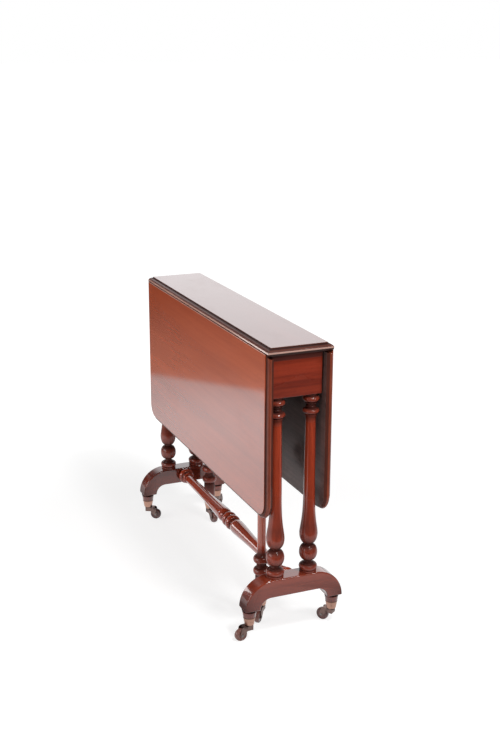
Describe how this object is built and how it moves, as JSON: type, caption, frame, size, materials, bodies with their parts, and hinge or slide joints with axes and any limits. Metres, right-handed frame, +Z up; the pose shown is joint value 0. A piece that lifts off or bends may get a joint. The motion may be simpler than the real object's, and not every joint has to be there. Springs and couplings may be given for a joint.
{
  "type": "sutherland table",
  "caption": "Narrow drop-leaf side table with hanging rule-jointed leaves, turned end columns on arched feet, a turned stretcher, swing-out gate legs and swivel castors.",
  "frame": {"origin": "on the floor, under the middle of the table", "axes": "+X along the table's length, +Y across it, +Z up"},
  "size_m": [0.842, 0.2846, 0.72],
  "materials": {
    "top_mahogany": "french polished, high gloss",
    "frieze_mahogany": "french polished, high gloss",
    "turned_mahogany": "french polished, high gloss",
    "inner_wood": "planed and stained, dull",
    "hinge_iron": "dark, worn",
    "steel": "dull",
    "brass": "aged",
    "brown_china": "glazed"
  },
  "bodies": {
    "frame": {"top_board": "top_mahogany", "end_rail_near": "frieze_mahogany", "end_rail_far": "frieze_mahogany", "side_rail_left": "inner_wood", "side_rail_right": "inner_wood", "knuckle_rail_left": "inner_wood", "knuckle_rail_right": "inner_wood", "fly_pin_left": "steel", "fly_pin_right": "steel", "spacer_blocks": "inner_wood", "top_screws": "steel", "column_near_left": "turned_mahogany", "column_near_right": "turned_mahogany", "column_far_left": "turned_mahogany", "column_far_right": "turned_mahogany", "foot_near": "turned_mahogany", "foot_far": "turned_mahogany", "stretcher": "turned_mahogany", "hinge_plates_top_left": "hinge_iron", "hinge_plates_top_right": "hinge_iron", "hinge_pins_left": "hinge_iron", "hinge_pins_right": "hinge_iron", "hinge_screws_top_left": "steel", "hinge_screws_top_right": "steel", "castor_socket_near_left": "brass", "castor_socket_near_right": "brass", "castor_socket_far_left": "brass", "castor_socket_far_right": "brass"},
    "leaf_left": {"leaf_left": "top_mahogany", "hinge_plates_leaf_left": "hinge_iron", "hinge_screws_leaf_left": "steel"},
    "gate_left": {"fly_rail_left": "inner_wood", "gate_leg_left": "turned_mahogany", "castor_socket_gate_left": "brass"},
    "leaf_right": {"leaf_right": "top_mahogany", "hinge_plates_leaf_right": "hinge_iron", "hinge_screws_leaf_right": "steel"},
    "gate_right": {"fly_rail_right": "inner_wood", "gate_leg_right": "turned_mahogany", "castor_socket_gate_right": "brass"},
    "swivel_near_left": {"castor_fork_near_left": "brass", "castor_axle_near_left": "steel"},
    "wheel_near_left": {"castor_wheel_near_left": "brown_china"},
    "swivel_near_right": {"castor_fork_near_right": "brass", "castor_axle_near_right": "steel"},
    "wheel_near_right": {"castor_wheel_near_right": "brown_china"},
    "swivel_far_left": {"castor_fork_far_left": "brass", "castor_axle_far_left": "steel"},
    "wheel_far_left": {"castor_wheel_far_left": "brown_china"},
    "swivel_far_right": {"castor_fork_far_right": "brass", "castor_axle_far_right": "steel"},
    "wheel_far_right": {"castor_wheel_far_right": "brown_china"},
    "swivel_gate_left": {"castor_fork_gate_left": "brass", "castor_axle_gate_left": "steel"},
    "wheel_gate_left": {"castor_wheel_gate_left": "brown_china"},
    "swivel_gate_right": {"castor_fork_gate_right": "brass", "castor_axle_gate_right": "steel"},
    "wheel_gate_right": {"castor_wheel_gate_right": "brown_china"}
  },
  "joints": [
    {"name": "leaf_left_hinge", "type": "hinge", "parent": "frame", "child": "leaf_left", "pos_m": [0, -0.0706, 0.706], "axis": [-1, 0, 0], "range_deg": [0, 90]},
    {"name": "leaf_right_hinge", "type": "hinge", "parent": "frame", "child": "leaf_right", "pos_m": [0, 0.0706, 0.706], "axis": [1, 0, 0], "range_deg": [0, 90]},
    {"name": "gate_left_hinge", "type": "hinge", "parent": "frame", "child": "gate_left", "pos_m": [0, -0.043, 0], "axis": [0, 0, -1], "range_deg": [0, 2.2]},
    {"name": "gate_right_hinge", "type": "hinge", "parent": "frame", "child": "gate_right", "pos_m": [0, 0.043, 0], "axis": [0, 0, -1], "range_deg": [-2.2, 0]},
    {"name": "swivel_near_left", "type": "hinge", "parent": "frame", "child": "swivel_near_left", "pos_m": [0.384, -0.1086, 0.037], "axis": [0, 0, 1], "continuous": true},
    {"name": "wheel_near_left", "type": "hinge", "parent": "swivel_near_left", "child": "wheel_near_left", "pos_m": [0.3864, -0.13147, 0.0155], "axis": [0.9945, 0.1045, 0], "continuous": true},
    {"name": "swivel_near_right", "type": "hinge", "parent": "frame", "child": "swivel_near_right", "pos_m": [0.384, 0.1086, 0.037], "axis": [0, 0, 1], "continuous": true},
    {"name": "wheel_near_right", "type": "hinge", "parent": "swivel_near_right", "child": "wheel_near_right", "pos_m": [0.36539, 0.09508, 0.0155], "axis": [0.5878, -0.809, 0], "continuous": true},
    {"name": "swivel_far_left", "type": "hinge", "parent": "frame", "child": "swivel_far_left", "pos_m": [-0.384, -0.1086, 0.037], "axis": [0, 0, 1], "continuous": true},
    {"name": "wheel_far_left", "type": "hinge", "parent": "swivel_far_left", "child": "wheel_far_left", "pos_m": [-0.37181, -0.08909, 0.0155], "axis": [-0.848, 0.5299, 0], "continuous": true},
    {"name": "swivel_far_right", "type": "hinge", "parent": "frame", "child": "swivel_far_right", "pos_m": [-0.384, 0.1086, 0.037], "axis": [0, 0, 1], "continuous": true},
    {"name": "wheel_far_right", "type": "hinge", "parent": "swivel_far_right", "child": "wheel_far_right", "pos_m": [-0.40109, 0.12399, 0.0155], "axis": [-0.6691, -0.7431, 0], "continuous": true},
    {"name": "swivel_gate_left", "type": "hinge", "parent": "gate_left", "child": "swivel_gate_left", "pos_m": [0.304, -0.043, 0.037], "axis": [0, 0, 1], "continuous": true},
    {"name": "wheel_gate_left", "type": "hinge", "parent": "swivel_gate_left", "child": "wheel_gate_left", "pos_m": [0.32109, -0.05839, 0.0155], "axis": [0.6691, 0.7431, 0], "continuous": true},
    {"name": "swivel_gate_right", "type": "hinge", "parent": "gate_right", "child": "swivel_gate_right", "pos_m": [-0.30378, 0.05467, 0.037], "axis": [0, 0, 1], "continuous": true},
    {"name": "wheel_gate_right", "type": "hinge", "parent": "swivel_gate_right", "child": "wheel_gate_right", "pos_m": [-0.28113, 0.05866, 0.0155], "axis": [-0.1736, 0.9848, 0], "continuous": true}
  ]
}
